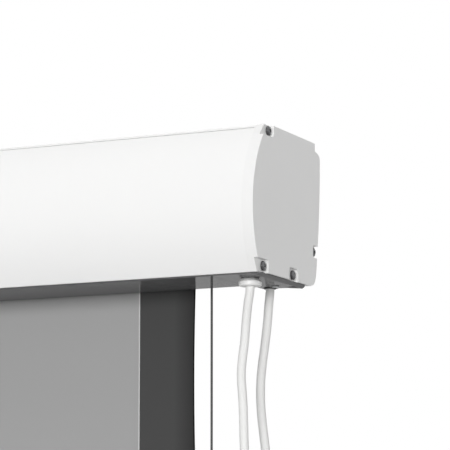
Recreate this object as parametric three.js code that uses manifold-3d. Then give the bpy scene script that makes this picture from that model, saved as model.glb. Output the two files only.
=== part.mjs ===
// A motorised drop-down projection screen: a wall or ceiling case with a curved front,
// a tubular motor in a roller, a tensioned fabric with black borders, and a weighted bar.
// Millimetres, +Z up. The screen hangs in the X and Z plane and is looked at along +Y.
// The origin is the middle of the case's flat top face.
import * as THREE from "three";
import { mergeVertices } from "three/addons/utils/BufferGeometryUtils.js";
import Module from "manifold-3d";

const wasm = await Module();
wasm.setup();

// The picture and its borders.
const view_width = 1860;
const view_height = 1046;
const side_border_width = 55.6;
const bottom_border_height = 53.6;
const fabric_thickness = 0.4;
const edge_scallop = 3.2;
const scallop_pitch = 250;
const top_scallop_z = 50;
const case_overhang = 150;

// The case's section, in y from its front lower edge and in z from its lower face.
const case_height = 124;
const front_lean = 14.7;
const front_bulge = 22.4;
const top_back_y = 112.3;
const ledge_drop = 6.7;
const shoulder_y = 117.5;
const shoulder_drop = 7.8;
const shoulder_corner_drop = 9;
const back_y = 123.2;
const back_top_drop = 14;
const back_belly_y = 122.3;
const back_belly_share = 0.48;
const back_foot_y = 113.8;
const back_foot_z = 11.7;
const back_corner_y = 111.5;
const bottom_back_y = 100.9;

// Walls of the case, and the step by which the extrusions stand in from the end caps.
const fit = 0.3;
const cut = 1;
const seam_step = 0.6;
const casing_wall = 2;
const cover_wall = 1.8;
const cover_flange_reach = 18.5;
const casing_lip_drop = 4;
const casing_lip_wall = 1.5;
const rear_flange_z = 4;
const rear_flange_y = 98;
const rear_flange_bend = 7;
const lip_y = 73.4;
const panel_z = 1.3;

// The dark plates under the case. An end plate reaches back to a round lug for the control
// cable, and a rim under the end cap runs along its outer edge and round its rear corner.
const plate_thickness = 2;
const plate_drop = 1;
const plate_front_y = 3.2;
const plate_end_gap = 5.5;
const end_plate_length = 40;
const end_plate_waist_y = 80;
const end_plate_back_y = 100;
const end_plate_screw_d = 24.5;
const plate_screw_setback = 10.6;
const plate_head_radius = 3.2;
const plate_head_height = 0.8;
const plate_lug_radius = 7.5;
const lug_turn = 150;
const rim_gap = 0.8;
const rim_corner = 11;
const rim_edge = 0.5;
const rim_line_d = 6.3;
const rim_crest = 0.8;
const rim_drop = 2.3;
const rear_rim_end_d = 20;
const rear_rim_width = 6;

// End caps, and the screws that hold them.
const cap_plate = 5.5;
const cap_depth = 10;
const cap_wall = 2.5;
const pocket_depth = 3.5;
const pocket_margin = 5.3;
const pocket_corner = 3;
const slot_pocket_front = 12.6;
const screw_radius = 2;
const screw_head_radius = 4;
const screw_head_height = 2.4;
const screw_length = 20;
const channel_radius = 3.9;
const top_screw_inset = 6.5;
const top_screw_drop = 4.8;
const front_screw_y = 10.2;
const front_screw_z = 5.6;
const slot_screw_y = 70;
const slot_screw_z = 5.4;
const rear_screw_y = 112.5;
const rear_screw_z = 30.4;

// Roller brackets.
const bracket_thickness = 2;
const bracket_square = 10;
const bracket_foot_length = 16.5;
const bracket_foot_width = 12;
const foot_thickness = 1.8;
const clip_radius = 9;
const clip_thickness = 1;
const stub_reach = 3;

// The roller, its motor and its idler end.
const roller_y = 52;
const tube_radius = 25;
const tube_wall = 1.5;
const motor_end_gap = 34.3;
const idler_end_gap = 24.3;
const motor_head_radius = 23.5;
const motor_head_length = 15.7;
const motor_can_radius = 19.5;
const motor_can_length = 450;
const crown_length = 12;
const crown_flange = 3;
const drive_wheel_length = 20;
const output_shaft_radius = 6;
const output_shaft_length = 6;
const idler_pin_radius = 7.5;
const idler_pin_length = 29;
const idler_flange_radius = 14;
const idler_flange_thickness = 2.4;
const idler_plug_length = 26;
const idler_plug_flange = 4;
const limit_screw_radius = 2.2;
const limit_screw_length = 7;
const limit_screw_proud = 1.2;
const limit_screw_pitch = 6;

// The tension cord, its tabs and its clamps.
const cord_radius = 1;
const cord_outset = 13.1;
const tab_height = 40;
const tab_lap = 10;
const tab_thickness = 0.4;
const sleeve_wall = 0.7;
const clamp_width = 8;
const clamp_wall = 2.7;
const clamp_finger = 4;

// The weighted bar.
const bar_width = 22;
const bar_height = 34;
const bar_wall = 1.6;
const bar_slot = 4;
const bar_overhang = 17.3;
const bar_cap_thickness = 4;
const rod_radius = 3;
const adjuster_radius = 2.5;
const adjuster_head_radius = 7;
const adjuster_head_height = 4;

// Wall brackets.
const wall_bracket_place = 660;
const wall_bracket_width = 60;
const wall_bracket_plate = 3;
const upper_hook_reach = 0.5;
const lower_hook_y = 99.5;
const wall_hole_radius = 3;
const wall_hole_spacing = 60;
const clamp_screw_y = 105;
const clamp_screw_radius = 2.5;
const clamp_head_radius = 5;
const clamp_head_height = 3;

// Cables, their gland and grommet, and the terminal block.
const cable_diameter = 7.5;
const gland_d = 23.7;
const gland_y = 31;
const gland_body_radius = 6.5;
const gland_flange_radius = 9.7;
const gland_flange_height = 6.2;
const gland_shoulder_radius = 7.2;
const gland_shoulder_height = 2.5;
const gland_bevel = 0.8;
const gland_height = 9;
const grommet_d = 34;
const grommet_setback = 20.2;
const grommet_radius = 4.7;
const grommet_lip = 0.5;
const cable_rise = 12.2;
const block_length = 32;
const block_foot_length = 8;
const block_foot_width = 30;
const block_front_y = 24;
const block_width = 74.5;
const block_height = 12;

// Coils of the cable that is left over, and what the cables end in.
const coil_turns = 6;
const coil_inner_radius = 28;
const coil_pitch = 8;
const coil_layer_step = 8;
const coil_steps = 24;
const coil_tail = 35;
const least_coil_gap = 0.4;
const coil_centre_y = 0.5;
const coil_centre_z = -355.4;
const tie_width = 10;
const tie_thickness = 1.2;
const plug_neck_radius = 6;
const plug_neck_height = 14;
const plug_radius = 17;
const plug_height = 22;
const pin_radius = 2.4;
const pin_length = 19;
const pin_spacing = 19;
const connector_width = 10;
const connector_depth = 14;
const connector_height = 24;

// How finely curves are drawn, in steps or sides.
const arc_steps = 18;
const back_steps = 8;
const corner_steps = 6;
const plate_corner_steps = 5;
const scallop_steps = 8;
const large_round = 32;
const round = 24;
const plain_round = 16;
const small_round = 12;
const thin_round = 8;
const hex = 6;
const route_steps = 22;
const weld = 1e-4;

// Shares of a piece's own size.
const plate_head_share = 0.75;
const cap_head_share = 0.7;
const bracket_foot_share = 0.5;
const plug_shoulder_share = 0.6;
const plug_top_share = 0.85;
const layer_change = 0.25;

// Places that follow from the sizes above.
const half_length = view_width / 2 + case_overhang;
const front_chord = Math.hypot(front_lean, case_height);
const front_arc_radius = (front_chord ** 2 / 4 + front_bulge ** 2) / (2 * front_bulge);
const front_arc_reach = (front_arc_radius - front_bulge) / front_chord;
const front_arc_y = front_lean / 2 + front_arc_reach * case_height;
const front_arc_z = case_height / 2 - front_arc_reach * front_lean;
const ledge_z = case_height - ledge_drop;
const cover_top_z = case_height - seam_step - casing_wall - fit;
const roller_z = case_height / 2;
const top_screw_y = front_lean + top_screw_inset;
const screw_z = case_height - top_screw_drop;
const top_middle_y = (front_lean + top_back_y) / 2;
const bracket_face = cap_depth + fit;
const extrusion_gap = bracket_face + bracket_thickness + fit;
const wrap_radius = tube_radius + fit + fabric_thickness;
const fabric_front_y = roller_y + wrap_radius + fit;
const fabric_y = fabric_front_y + fabric_thickness / 2;
const picture_foot_z = -view_height;
const bar_top_z = picture_foot_z - bottom_border_height;
const edge_outer = view_width / 2 + side_border_width;
const edge_inner = edge_outer - edge_scallop;
const cord_half = edge_outer + cord_outset;
const cord_d = half_length - cord_half;
const bar_half = cord_half + bar_overhang;
const plate_top_z = plate_thickness - plate_drop;
const end_plate_far = plate_end_gap + end_plate_length;
const end_plate_screw_y = lip_y + plate_screw_setback;
const grommet_y = lip_y + grommet_setback;

const end_screws = {
  top: [top_screw_y, screw_z],
  front: [front_screw_y, front_screw_z],
  slot: [slot_screw_y, slot_screw_z],
  rear: [rear_screw_y, rear_screw_z],
};

// Finishes.
const white_metal = finish("#f1f1ee", 0.45, 0);
const white_plastic = finish("#e4e3df", 0.5, 0);
const dark_gloss = finish("#2b2c2f", 0.2, 0);
const dark_plastic = finish("#232427", 0.55, 0);
const steel = finish("#9fa2a6", 0.35, 0.9);
const dark_steel = finish("#3a3b3f", 0.4, 0.9);
const aluminium = finish("#b9bbbf", 0.4, 0.9);
const grey_fabric = finish("#a2a2a2", 0.9, 0);
const black_fabric = finish("#303032", 0.9, 0);
const cord_grey = finish("#6e6e70", 0.7, 0);
const cable_white = finish("#efefec", 0.5, 0);
const grey_plastic = finish("#8a8c90", 0.5, 0);

// The part's group, the group that holds the case's section frame, and one group for each
// end, whose x runs inwards from that end's outer face.
const screen = new THREE.Group();
const section = new THREE.Group();
section.position.set(0, -top_middle_y, seam_step - case_height);
screen.add(section);
const right_end = new THREE.Group();
right_end.position.x = half_length;
right_end.scale.x = -1;
const left_end = new THREE.Group();
left_end.position.x = -half_length;
section.add(right_end, left_end);

function finish(color, roughness, metalness) {
  return new THREE.MeshStandardMaterial({ color, roughness, metalness });
}

function addTo(group, name, geometry, material) {
  const mesh = new THREE.Mesh(geometry, material);
  mesh.name = name;
  group.add(mesh);
}

function addBothEnds(name, geometry, material) {
  addTo(right_end, name + "_right", geometry, material);
  addTo(left_end, name + "_left", geometry, material);
}

// Shapes and solids.

function arcY(radius, z) {
  return front_arc_y - Math.sqrt(radius ** 2 - (z - front_arc_z) ** 2);
}

function frontArc(radius, low, high) {
  return Array.from({ length: arc_steps + 1 }, (_, i) => {
    const z = low + ((high - low) * i) / arc_steps;
    return new THREE.Vector2(arcY(radius, z), z);
  });
}

// The back of the case, from the ledge's inner corner down to where the back ends.
function backCurve() {
  const path = new THREE.Path();
  path.moveTo(top_back_y, ledge_z);
  const back_top_z = case_height - back_top_drop;
  path.lineTo(shoulder_y, case_height - shoulder_drop);
  path.quadraticCurveTo(back_y, case_height - shoulder_corner_drop, back_y, back_top_z);
  path.quadraticCurveTo(back_belly_y, case_height * back_belly_share, back_foot_y, back_foot_z);
  return path.getPoints(back_steps);
}

function caseOutline() {
  const corner = new THREE.QuadraticBezierCurve(
    new THREE.Vector2(back_foot_y, back_foot_z),
    new THREE.Vector2(back_corner_y, 0),
    new THREE.Vector2(bottom_back_y, 0),
  );
  return [
    ...frontArc(front_arc_radius, 0, case_height),
    new THREE.Vector2(top_back_y, case_height),
    ...backCurve(),
    ...corner.getPoints(corner_steps).slice(1),
  ];
}

// Moves each point of a path to the right of its direction, with mitred corners.
function inset(path, distance, closed) {
  const last = path.length - 1;
  const normalAfter = (i) => {
    const step = path[(i + 1) % path.length].clone().sub(path[i]).normalize();
    return new THREE.Vector2(step.y, -step.x);
  };
  return path.map((point, i) => {
    const after = closed || i < last ? normalAfter(i) : normalAfter(last - 1);
    const before = closed || i > 0 ? normalAfter((i + last) % path.length) : after;
    const share = 1 + before.dot(after);
    return before.clone().add(after).multiplyScalar(distance / share).add(point);
  });
}

function strip(path, distance, wall) {
  return [...inset(path, distance, false), ...inset(path, distance + wall, false).reverse()];
}

// Prisms, rings and boxes. An outline for alongX is drawn in y and z.
function alongX(outline, low, high) {
  const geometry = extrude(outline, high - low);
  const turn = new THREE.Matrix4().makeBasis(
    new THREE.Vector3(0, 1, 0),
    new THREE.Vector3(0, 0, 1),
    new THREE.Vector3(1, 0, 0),
  );
  return geometry.applyMatrix4(turn).translate(low, 0, 0);
}

function alongZ(outline, low, high) {
  return extrude(outline, high - low).translate(0, 0, low);
}

// An outline for alongY is drawn in x and z.
function alongY(outline, low, high) {
  return extrude(outline, high - low).rotateX(Math.PI / 2).translate(0, high, 0);
}

function extrude(outline, depth) {
  const shape = outline instanceof THREE.Shape ? outline : new THREE.Shape(outline);
  return new THREE.ExtrudeGeometry(shape, { depth, bevelEnabled: false });
}

function box(x, y, z) {
  const geometry = new THREE.BoxGeometry(x[1] - x[0], y[1] - y[0], z[1] - z[0]);
  return geometry.translate((x[0] + x[1]) / 2, (y[0] + y[1]) / 2, (z[0] + z[1]) / 2);
}

function circle(radius, sides) {
  return Array.from({ length: sides }, (_, i) => {
    const angle = (2 * Math.PI * (i + 0.5)) / sides;
    return new THREE.Vector2(radius * Math.cos(angle), radius * Math.sin(angle));
  });
}

function rodX(y, z, radius, low, high, sides = plain_round) {
  return alongX(circle(radius, sides), low, high).translate(0, y, z);
}

function rodZ(x, y, radius, low, high, sides = plain_round) {
  return alongZ(circle(radius, sides), low, high).translate(x, y, 0);
}

// A turned piece: its profile is a list of radius and height, anticlockwise.
function turned(profile, sides = round) {
  const points = [...profile, profile[0]].map(([r, h]) => new THREE.Vector2(r, h));
  return new THREE.LatheGeometry(points, sides);
}

function turnedX(y, z, profile, sides) {
  return turned(profile, sides).rotateZ(-Math.PI / 2).translate(0, y, z);
}

function turnedZ(x, y, profile, sides) {
  return turned(profile, sides).rotateX(Math.PI / 2).translate(x, y, 0);
}

function ringProfile(inner, outer, low, high) {
  return [[inner, low], [outer, low], [outer, high], [inner, high]];
}

// Joins and cuts.
function toSolid(geometry) {
  const plain = geometry.index ? geometry.toNonIndexed() : geometry.clone();
  plain.deleteAttribute("normal");
  plain.deleteAttribute("uv");
  const merged = mergeVertices(plain, weld);
  return new wasm.Manifold(
    new wasm.Mesh({
      numProp: 3,
      vertProperties: merged.attributes.position.array,
      triVerts: new Uint32Array(merged.index.array),
    }),
  );
}

function fromSolid(solid) {
  const mesh = solid.getMesh();
  const geometry = new THREE.BufferGeometry();
  geometry.setAttribute("position", new THREE.BufferAttribute(mesh.vertProperties, 3));
  geometry.setIndex(new THREE.BufferAttribute(mesh.triVerts, 1));
  return geometry;
}

function join(...geometries) {
  return fromSolid(geometries.map(toSolid).reduce((a, b) => a.add(b)));
}

function cutFrom(geometry, ...tools) {
  return fromSolid(tools.map(toSolid).reduce((a, b) => a.subtract(b), toSolid(geometry)));
}

function overlapOf(a, b) {
  return fromSolid(toSolid(a).intersect(toSolid(b)));
}

function fullLength(outline, gap) {
  return alongX(outline, gap - half_length, half_length - gap);
}

function screwHoles(low, high) {
  return Object.values(end_screws).map(([y, z]) => rodX(y, z, screw_radius + fit, low, high, small_round));
}

// The case's extrusions.

function screwChannel(y, z) {
  return fullLength(circle(channel_radius, small_round), extrusion_gap).translate(0, y, z);
}

function channelHole(y, z) {
  return fullLength(circle(screw_radius + fit, small_round), extrusion_gap - cut).translate(0, y, z);
}

function casingProfile() {
  const slope = frontArc(front_arc_radius - seam_step, cover_top_z + fit, case_height - seam_step);
  const inner = case_height - seam_step - casing_wall;
  const lip_y_front = arcY(front_arc_radius - seam_step - cover_wall, cover_top_z) + fit;
  const walls = strip(
    [
      new THREE.Vector2(slope[slope.length - 1].x, case_height),
      new THREE.Vector2(top_back_y, case_height),
      ...backCurve(),
      new THREE.Vector2(back_corner_y, rear_flange_z + rear_flange_bend / 2),
      new THREE.Vector2(back_corner_y - rear_flange_bend / 2, rear_flange_z),
      new THREE.Vector2(rear_flange_y, rear_flange_z),
    ],
    seam_step,
    casing_wall,
  );
  const nose = [
    new THREE.Vector2(slope[0].x, inner),
    ...slope.slice(1),
    new THREE.Vector2(top_screw_y, case_height - seam_step),
    new THREE.Vector2(top_screw_y, inner),
  ];
  const lip = box(
    [extrusion_gap - half_length, half_length - extrusion_gap],
    [lip_y_front, lip_y_front + casing_lip_wall],
    [inner - casing_lip_drop, inner + casing_wall / 2],
  );
  const body = join(
    fullLength(walls, extrusion_gap),
    fullLength(nose, extrusion_gap),
    lip,
    screwChannel(top_screw_y, screw_z),
    screwChannel(rear_screw_y, rear_screw_z),
  );
  return cutFrom(body, channelHole(top_screw_y, screw_z), channelHole(rear_screw_y, rear_screw_z));
}

// The cover's shell runs on over the edges of the roller brackets.
function frontCover() {
  const outer = front_arc_radius - seam_step;
  const shell = [
    ...frontArc(outer, 0, cover_top_z),
    ...frontArc(outer - cover_wall, 0, cover_top_z).reverse(),
  ];
  const flange_start = arcY(outer, panel_z) + cover_wall / 2;
  const flange = box(
    [extrusion_gap - half_length, half_length - extrusion_gap],
    [flange_start, cover_flange_reach],
    [panel_z, panel_z + cover_wall],
  );
  const body = join(
    fullLength(shell, bracket_face),
    flange,
    screwChannel(front_screw_y, front_screw_z),
  );
  return cutFrom(body, channelHole(front_screw_y, front_screw_z));
}

function bottomPanel() {
  const floor = box(
    [extrusion_gap - half_length, half_length - extrusion_gap],
    [cover_flange_reach + fit, lip_y],
    [panel_z, panel_z + cover_wall],
  );
  const body = join(floor, screwChannel(slot_screw_y, slot_screw_z));
  const gland_hole = rodZ(
    half_length - gland_d,
    gland_y,
    gland_body_radius + fit,
    panel_z - cut,
    panel_z + cover_wall + cut,
  );
  return cutFrom(body, channelHole(slot_screw_y, slot_screw_z), gland_hole);
}

// The dark plates under the case.

function bottomCover() {
  const edge = plate_thickness / 2;
  const outline = [
    [plate_front_y, plate_top_z],
    [plate_front_y, plate_top_z - edge],
    [plate_front_y + edge, -plate_drop],
    [lip_y - edge, -plate_drop],
    [lip_y, plate_top_z - edge],
    [lip_y, plate_top_z],
  ].map(([y, z]) => new THREE.Vector2(y, z));
  return fullLength(outline, end_plate_far + fit);
}

// An end plate's outline, from its outer edge at x = near to the edge next to the cover.
function endPlateSlab(near, low, high) {
  const corner = rim_corner - (near - rim_gap);
  const shape = new THREE.Shape();
  shape.moveTo(near, plate_front_y);
  shape.lineTo(end_plate_far, plate_front_y);
  shape.lineTo(end_plate_far, end_plate_waist_y);
  shape.lineTo(grommet_d + plate_lug_radius, end_plate_waist_y);
  shape.lineTo(grommet_d + plate_lug_radius, grommet_y);
  shape.absarc(grommet_d, grommet_y, plate_lug_radius, 0, THREE.MathUtils.degToRad(lug_turn));
  shape.lineTo(near + corner, end_plate_back_y);
  shape.absarc(near + corner, end_plate_back_y - corner, corner, Math.PI / 2, Math.PI);
  const slab = new THREE.ExtrudeGeometry(shape, {
    depth: high - low,
    bevelEnabled: false,
    curveSegments: plate_corner_steps,
  });
  return slab.translate(0, 0, low);
}

// The rim slopes down from under the end cap to a crest. Behind the crest it ends upright
// along the side, and runs out slowly along the rear.
function endPlateRim() {
  const slope = [
    [rim_gap - cut, -fit],
    [rim_gap - cut, -fit - rim_edge],
    [rim_gap, -fit - rim_edge],
    [rim_line_d, -rim_drop],
  ];
  const side = [...slope, [rim_line_d + rim_crest, -rim_drop], [rim_line_d + rim_crest, -fit]];
  const rear = [...slope, [rear_rim_end_d, -plate_drop], [rear_rim_end_d, -fit]];
  const wedge = (points, front_y) =>
    alongY(points.map(([x, z]) => new THREE.Vector2(x, z)), front_y, end_plate_back_y);
  return overlapOf(
    endPlateSlab(rim_gap, -rim_drop, -fit),
    join(wedge(side, 0), wedge(rear, end_plate_back_y - rear_rim_width)),
  );
}

function bottomEndPlate(with_cables) {
  const plate = join(endPlateSlab(plate_end_gap, -plate_drop, plate_top_z), endPlateRim());
  const low = -plate_drop - cut;
  const high = plate_top_z + cut;
  const holes = [rodZ(end_plate_screw_d, end_plate_screw_y, screw_radius + fit, low, high, small_round)];
  if (with_cables) {
    holes.push(rodZ(gland_d, gland_y, gland_body_radius + fit, low, high));
    holes.push(rodZ(grommet_d, grommet_y, grommet_radius + fit, low, high));
  }
  return cutFrom(plate, ...holes);
}

function bottomPlateScrew() {
  const head_z = -plate_drop - fit;
  const profile = [
    [0, head_z - plate_head_height],
    [plate_head_radius * plate_head_share, head_z - plate_head_height],
    [plate_head_radius, head_z],
    [screw_radius, head_z],
    [screw_radius, panel_z + foot_thickness],
    [0, panel_z + foot_thickness],
  ];
  return turnedZ(end_plate_screw_d, end_plate_screw_y, profile, small_round);
}

// End caps.

// Room for a screw's head: a box with rounded corners, from its limits in y and z.
function pocket(y, z) {
  const middles = [
    [y[1] - pocket_corner, z[0] + pocket_corner],
    [y[1] - pocket_corner, z[1] - pocket_corner],
    [y[0] + pocket_corner, z[1] - pocket_corner],
    [y[0] + pocket_corner, z[0] + pocket_corner],
  ];
  const shape = new THREE.Path();
  middles.forEach(([middle_y, middle_z], i) => {
    const start = (Math.PI / 2) * (i - 1);
    shape.absarc(middle_y, middle_z, pocket_corner, start, start + Math.PI / 2);
  });
  return alongX(shape.getPoints(corner_steps), -cut, pocket_depth);
}

function endCap() {
  const outline = caseOutline();
  const slab = alongX(outline, 0, cap_depth);
  const hollow = alongX(inset(outline, cap_wall, true), cap_plate, cap_depth + cut);
  const shell = cutFrom(slab, hollow);
  const bosses = Object.values(end_screws).map(([y, z]) =>
    overlapOf(rodX(y, z, channel_radius, cap_plate - cut, cap_depth, small_round), slab),
  );
  const far = case_height * 2;
  const pockets = [
    pocket([-far, top_screw_y + pocket_margin], [screw_z - pocket_margin, far]),
    pocket([-far, front_screw_y + pocket_margin], [-far, front_screw_z + pocket_margin]),
    pocket(
      [slot_screw_y - slot_pocket_front, slot_screw_y + pocket_margin],
      [-far, slot_screw_z + pocket_margin],
    ),
    pocket(
      [rear_screw_y - pocket_margin, far],
      [rear_screw_z - pocket_margin, rear_screw_z + pocket_margin],
    ),
  ];
  const plate_seat = box(
    [plate_end_gap - fit, cap_depth + cut],
    [plate_front_y - fit, end_plate_back_y + fit],
    [-far, plate_top_z + fit],
  );
  return cutFrom(
    join(shell, ...bosses),
    ...pockets,
    plate_seat,
    ...screwHoles(-cut, cap_depth + cut),
  );
}

function endCapScrew([y, z]) {
  const head = pocket_depth - fit;
  const profile = [
    [0, head - screw_head_height],
    [screw_head_radius * cap_head_share, head - screw_head_height],
    [screw_head_radius, head - screw_head_height / 2],
    [screw_head_radius, head],
    [screw_radius, head],
    [screw_radius, head + screw_length],
    [0, head + screw_length],
  ];
  return turnedX(y, z, profile, small_round);
}

// Roller brackets: a plate clamped between cap and extrusions, with a foot turned inwards.
// The plate's front edge stands back from the cover's shell.

function rollerBracket() {
  const low = bracket_face;
  const high = bracket_face + bracket_thickness;
  const plate = alongX(inset(caseOutline(), seam_step, true), low, high);
  const above = box([low - cut, high + cut], [-case_height, case_height * 2], [panel_z, case_height]);
  const shell_top = cover_top_z + fit;
  const shell_room = alongX(
    [
      ...frontArc(front_arc_radius - seam_step - cover_wall - fit, 0, shell_top),
      new THREE.Vector2(-case_height, shell_top),
      new THREE.Vector2(-case_height, 0),
    ],
    low - cut,
    high + cut,
  );
  const foot_back = end_plate_screw_y + bracket_foot_width * bracket_foot_share;
  const foot = box(
    [low, high + bracket_foot_length],
    [foot_back - bracket_foot_width, foot_back],
    [panel_z, panel_z + foot_thickness],
  );
  const half = bracket_square / 2 + fit;
  const square = box(
    [low - cut, high + cut],
    [roller_y - half, roller_y + half],
    [roller_z - half, roller_z + half],
  );
  const foot_hole = rodZ(
    end_plate_screw_d,
    end_plate_screw_y,
    screw_radius + fit,
    panel_z - cut,
    panel_z + foot_thickness + cut,
    small_round,
  );
  return cutFrom(
    join(overlapOf(plate, above), foot),
    shell_room,
    square,
    foot_hole,
    ...screwHoles(low - cut, high + cut),
  );
}

function squareStub(high) {
  const half = bracket_square / 2;
  return box(
    [bracket_face - stub_reach, high],
    [roller_y - half, roller_y + half],
    [roller_z - half, roller_z + half],
  );
}

function motorClip() {
  const high = bracket_face - fit;
  const low = high - clip_thickness;
  const half = bracket_square / 2 + fit / 2;
  const square = box([low - cut, high + cut], [-half, half], [-half, half]);
  const clip = cutFrom(rodX(0, 0, clip_radius, low, high, round), square);
  return clip.translate(0, roller_y, roller_z);
}

// The motor, whose head stays with the case.

const motor_face = extrusion_gap;
const motor_head_end = motor_face + motor_head_length;
const motor_can_end = motor_head_end + fit + motor_can_length;
const limit_screw_top_z = roller_z - motor_head_radius + limit_screw_length;
const limit_screw_low_z = roller_z - motor_head_radius - limit_screw_proud;

function limitScrewPlaces() {
  const middle = motor_face + motor_head_length / 2;
  return [middle - limit_screw_pitch / 2, middle + limit_screw_pitch / 2];
}

function motorHead() {
  const head = join(
    rodX(roller_y, roller_z, motor_head_radius, motor_face, motor_head_end, large_round),
    squareStub(motor_face + cut),
  );
  const bores = limitScrewPlaces().map((d) =>
    rodZ(d, roller_y, limit_screw_radius + fit, 0, limit_screw_top_z + fit, small_round),
  );
  return cutFrom(head, ...bores);
}

function limitScrew(d) {
  return rodZ(d, roller_y, limit_screw_radius, limit_screw_low_z, limit_screw_top_z, hex);
}

function motorCan() {
  return rodX(roller_y, roller_z, motor_can_radius, motor_head_end + fit, motor_can_end, round);
}

// The roller and what turns with it.

const tube_inner = tube_radius - tube_wall;

function rollerTube() {
  const low = idler_end_gap - half_length;
  const high = half_length - motor_end_gap;
  return turnedX(roller_y, roller_z, ringProfile(tube_inner, tube_radius, low, high), large_round);
}

function fabricWrap() {
  const profile = ringProfile(tube_radius + fit, wrap_radius, -edge_inner, edge_inner);
  return turnedX(roller_y, roller_z, profile, large_round);
}

function limitCrown() {
  const bore = motor_can_radius + fit;
  const flange_end = motor_end_gap - fit;
  const profile = [
    [bore, flange_end - crown_flange],
    [tube_radius, flange_end - crown_flange],
    [tube_radius, flange_end],
    [tube_inner - fit, flange_end],
    [tube_inner - fit, flange_end + crown_length],
    [bore, flange_end + crown_length],
  ];
  return turnedX(roller_y, roller_z, profile, round);
}

function driveWheel() {
  const wheel = motor_can_end + fit + output_shaft_length;
  const profile = [
    [0, motor_can_end + fit],
    [output_shaft_radius, motor_can_end + fit],
    [output_shaft_radius, wheel],
    [tube_inner - fit, wheel],
    [tube_inner - fit, wheel + drive_wheel_length],
    [0, wheel + drive_wheel_length],
  ];
  return turnedX(roller_y, roller_z, profile, round);
}

function idlerPlug() {
  const bore = idler_pin_radius + fit;
  const flange_end = idler_end_gap - fit;
  const profile = [
    [bore, flange_end - idler_plug_flange],
    [tube_radius, flange_end - idler_plug_flange],
    [tube_radius, flange_end],
    [tube_inner - fit, flange_end],
    [tube_inner - fit, flange_end + idler_plug_length],
    [bore, flange_end + idler_plug_length],
  ];
  return turnedX(roller_y, roller_z, profile, round);
}

function idlerPin() {
  const flange = extrusion_gap + idler_flange_thickness;
  const profile = [
    [0, extrusion_gap],
    [idler_flange_radius, extrusion_gap],
    [idler_flange_radius, flange],
    [idler_pin_radius, flange],
    [idler_pin_radius, flange + idler_pin_length],
    [0, flange + idler_pin_length],
  ];
  return join(turnedX(roller_y, roller_z, profile, round), squareStub(extrusion_gap + cut));
}

// A collar on the tube, with a finger over the cord's fixed end.
function cordClamp() {
  const low = cord_d + cord_radius + fit;
  const outer = tube_radius + fit + clamp_wall;
  const collar = turnedX(
    roller_y,
    roller_z,
    ringProfile(tube_radius + fit, outer, low, low + clamp_width),
    round,
  );
  const finger = box(
    [cord_d - cord_radius, low + clamp_width / 2],
    [roller_y + tube_radius + fit * 2, roller_y + outer - fit],
    [roller_z + fit, roller_z + fit + clamp_finger],
  );
  return join(collar, finger);
}

// The fabric: a grey picture area, black borders with scalloped outer edges, and a foot.

function edgeAt(z) {
  const span = (((top_scallop_z - z) % scallop_pitch) + scallop_pitch) % scallop_pitch;
  const share = (2 * span) / scallop_pitch - 1;
  return edge_outer - edge_scallop * (1 - share ** 2);
}

function edgeCurve(high, low) {
  const steps = Math.round((scallop_steps * (high - low)) / scallop_pitch) + 1;
  return Array.from({ length: steps + 1 }, (_, i) => {
    const z = high - ((high - low) * i) / steps;
    return new THREE.Vector2(edgeAt(z), z);
  });
}

function viewingSurface() {
  return box(
    [-view_width / 2, view_width / 2],
    [fabric_front_y, fabric_front_y + fabric_thickness],
    [picture_foot_z, roller_z],
  );
}

function sideBorder() {
  const sheet = sideSheet();
  return join(sheet, ...edgeTabs());
}

function sideSheet() {
  const outline = [
    new THREE.Vector2(view_width / 2, roller_z),
    ...edgeCurve(roller_z, picture_foot_z),
    new THREE.Vector2(view_width / 2, picture_foot_z),
  ].map((point) => new THREE.Vector2(half_length - point.x, point.y));
  return alongY(outline, fabric_front_y, fabric_front_y + fabric_thickness);
}

function bottomBorder() {
  const foot = bar_top_z - fit * 3;
  const right = edgeCurve(picture_foot_z, foot);
  const left = right.map((point) => new THREE.Vector2(-point.x, point.y)).reverse();
  return alongY([...right, ...left], fabric_front_y, fabric_front_y + fabric_thickness);
}

// The cord hangs straight from the roller to its anchor in the bar.
function tensionCord() {
  return rodZ(cord_d, fabric_y, cord_radius, bar_top_z - bar_wall, roller_z, thin_round);
}

// The tabs are welded to the border's back, and their sleeves run along the cord.
function edgeTabs() {
  const back = fabric_front_y + fabric_thickness;
  const sleeve_inner = cord_radius + fit;
  const sleeve_middle = sleeve_inner + sleeve_wall / 2;
  const tabs = [];
  for (let z = top_scallop_z - scallop_pitch; z > picture_foot_z; z -= scallop_pitch) {
    const low = z - tab_height / 2;
    const high = z + tab_height / 2;
    const sleeve = turnedZ(
      cord_d,
      fabric_y,
      ringProfile(sleeve_inner, sleeve_inner + sleeve_wall, low, high),
      small_round,
    );
    const inner_d = half_length - edge_outer + tab_lap;
    const strap = box(
      [cord_d + sleeve_middle, inner_d],
      [back - tab_thickness / 2, back + tab_thickness],
      [low, high],
    );
    tabs.push(join(sleeve, strap));
  }
  return tabs;
}

// The weighted bar.

function bottomBar() {
  const w = bar_width / 2;
  const s = bar_slot / 2;
  const t = bar_wall;
  const outline = [
    [-s, 0], [-w, 0], [-w, -bar_height], [w, -bar_height], [w, 0], [s, 0],
    [s, -t], [w - t, -t], [w - t, t - bar_height], [t - w, t - bar_height], [t - w, -t], [-s, -t],
  ].map(([y, z]) => new THREE.Vector2(fabric_y + y, bar_top_z + z));
  const low = bar_top_z - bar_height - cut;
  const holes = [-cord_half, cord_half].map((x) =>
    rodZ(x, fabric_y, adjuster_radius + fit, low, low + bar_wall + cut * 2, small_round),
  );
  return cutFrom(alongX(outline, -bar_half, bar_half), ...holes);
}

function barEndCap() {
  const high = half_length - bar_half - fit;
  return box(
    [high - bar_cap_thickness, high],
    [fabric_y - bar_width / 2, fabric_y + bar_width / 2],
    [bar_top_z - bar_height, bar_top_z],
  );
}

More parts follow.
